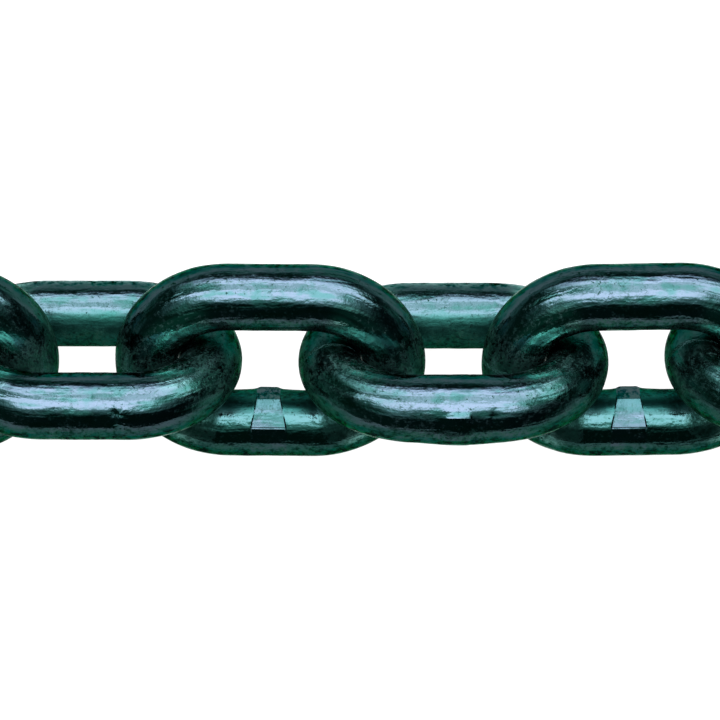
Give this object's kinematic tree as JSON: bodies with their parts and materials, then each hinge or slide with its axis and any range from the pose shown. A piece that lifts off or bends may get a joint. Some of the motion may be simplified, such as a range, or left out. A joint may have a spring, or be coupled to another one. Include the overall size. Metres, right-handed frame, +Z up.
{
  "type": "straight length of lifting chain",
  "caption": "Straight length of welded short-link lifting chain in dark heat-treated steel, crown in crown, each link free to swing on the next.",
  "frame": {"origin": "middle of the chain's length and width, on the surface that it lies on", "axes": "+X along the chain towards its last link, +Z up"},
  "size_m": [1.021, 0.0438, 0.0442],
  "materials": {
    "dark_steel": "dark glossy oiled temper finish, blue-green in the light, with pits and scale specks"
  },
  "bodies": {
    "link_01": {"link_01": "dark_steel"},
    "link_02": {"link_02": "dark_steel"},
    "link_03": {"link_03": "dark_steel"},
    "link_04": {"link_04": "dark_steel"},
    "link_05": {"link_05": "dark_steel"},
    "link_06": {"link_06": "dark_steel"},
    "link_07": {"link_07": "dark_steel"},
    "link_08": {"link_08": "dark_steel"},
    "link_09": {"link_09": "dark_steel"},
    "link_10": {"link_10": "dark_steel"},
    "link_11": {"link_11": "dark_steel"},
    "link_12": {"link_12": "dark_steel"},
    "link_13": {"link_13": "dark_steel"},
    "link_14": {"link_14": "dark_steel"},
    "link_15": {"link_15": "dark_steel"},
    "link_16": {"link_16": "dark_steel"},
    "link_17": {"link_17": "dark_steel"},
    "link_18": {"link_18": "dark_steel"},
    "link_19": {"link_19": "dark_steel"},
    "link_20": {"link_20": "dark_steel"},
    "link_21": {"link_21": "dark_steel"},
    "link_22": {"link_22": "dark_steel"}
  },
  "joints": [
    {"name": "swing_02", "type": "hinge", "parent": "link_01", "child": "link_02", "pos_m": [-0.44217, 0, 0.02209], "axis": [0, 0.7071, 0.7071], "range_deg": [-90, 90]},
    {"name": "swing_03", "type": "hinge", "parent": "link_02", "child": "link_03", "pos_m": [-0.39717, 0, 0.02209], "axis": [0, -0.7071, 0.7071], "range_deg": [-90, 90]},
    {"name": "swing_04", "type": "hinge", "parent": "link_03", "child": "link_04", "pos_m": [-0.35217, 0, 0.02209], "axis": [0, -0.7071, -0.7071], "range_deg": [-90, 90]},
    {"name": "swing_05", "type": "hinge", "parent": "link_04", "child": "link_05", "pos_m": [-0.30717, 0, 0.02209], "axis": [0, 0.7071, -0.7071], "range_deg": [-90, 90]},
    {"name": "swing_06", "type": "hinge", "parent": "link_05", "child": "link_06", "pos_m": [-0.26217, 0, 0.02209], "axis": [0, 0.7071, 0.7071], "range_deg": [-90, 90]},
    {"name": "swing_07", "type": "hinge", "parent": "link_06", "child": "link_07", "pos_m": [-0.21717, 0, 0.02209], "axis": [0, -0.7071, 0.7071], "range_deg": [-90, 90]},
    {"name": "swing_08", "type": "hinge", "parent": "link_07", "child": "link_08", "pos_m": [-0.17217, 0, 0.02209], "axis": [0, -0.7071, -0.7071], "range_deg": [-90, 90]},
    {"name": "swing_09", "type": "hinge", "parent": "link_08", "child": "link_09", "pos_m": [-0.12717, 0, 0.02209], "axis": [0, 0.7071, -0.7071], "range_deg": [-90, 90]},
    {"name": "swing_10", "type": "hinge", "parent": "link_09", "child": "link_10", "pos_m": [-0.08217, 0, 0.02209], "axis": [0, 0.7071, 0.7071], "range_deg": [-90, 90]},
    {"name": "swing_11", "type": "hinge", "parent": "link_10", "child": "link_11", "pos_m": [-0.03717, 0, 0.02209], "axis": [0, -0.7071, 0.7071], "range_deg": [-90, 90]},
    {"name": "swing_12", "type": "hinge", "parent": "link_11", "child": "link_12", "pos_m": [0.00783, 0, 0.02209], "axis": [0, -0.7071, -0.7071], "range_deg": [-90, 90]},
    {"name": "swing_13", "type": "hinge", "parent": "link_12", "child": "link_13", "pos_m": [0.05283, 0, 0.02209], "axis": [0, 0.7071, -0.7071], "range_deg": [-90, 90]},
    {"name": "swing_14", "type": "hinge", "parent": "link_13", "child": "link_14", "pos_m": [0.09783, 0, 0.02209], "axis": [0, 0.7071, 0.7071], "range_deg": [-90, 90]},
    {"name": "swing_15", "type": "hinge", "parent": "link_14", "child": "link_15", "pos_m": [0.14283, 0, 0.02209], "axis": [0, -0.7071, 0.7071], "range_deg": [-90, 90]},
    {"name": "swing_16", "type": "hinge", "parent": "link_15", "child": "link_16", "pos_m": [0.18783, 0, 0.02209], "axis": [0, -0.7071, -0.7071], "range_deg": [-90, 90]},
    {"name": "swing_17", "type": "hinge", "parent": "link_16", "child": "link_17", "pos_m": [0.23283, 0, 0.02209], "axis": [0, 0.7071, -0.7071], "range_deg": [-90, 90]},
    {"name": "swing_18", "type": "hinge", "parent": "link_17", "child": "link_18", "pos_m": [0.27783, 0, 0.02209], "axis": [0, 0.7071, 0.7071], "range_deg": [-90, 90]},
    {"name": "swing_19", "type": "hinge", "parent": "link_18", "child": "link_19", "pos_m": [0.32283, 0, 0.02209], "axis": [0, -0.7071, 0.7071], "range_deg": [-90, 90]},
    {"name": "swing_20", "type": "hinge", "parent": "link_19", "child": "link_20", "pos_m": [0.36783, 0, 0.02209], "axis": [0, -0.7071, -0.7071], "range_deg": [-90, 90]},
    {"name": "swing_21", "type": "hinge", "parent": "link_20", "child": "link_21", "pos_m": [0.41283, 0, 0.02209], "axis": [0, 0.7071, -0.7071], "range_deg": [-90, 90]},
    {"name": "swing_22", "type": "hinge", "parent": "link_21", "child": "link_22", "pos_m": [0.45783, 0, 0.02209], "axis": [0, 0.7071, 0.7071], "range_deg": [-90, 90]}
  ]
}
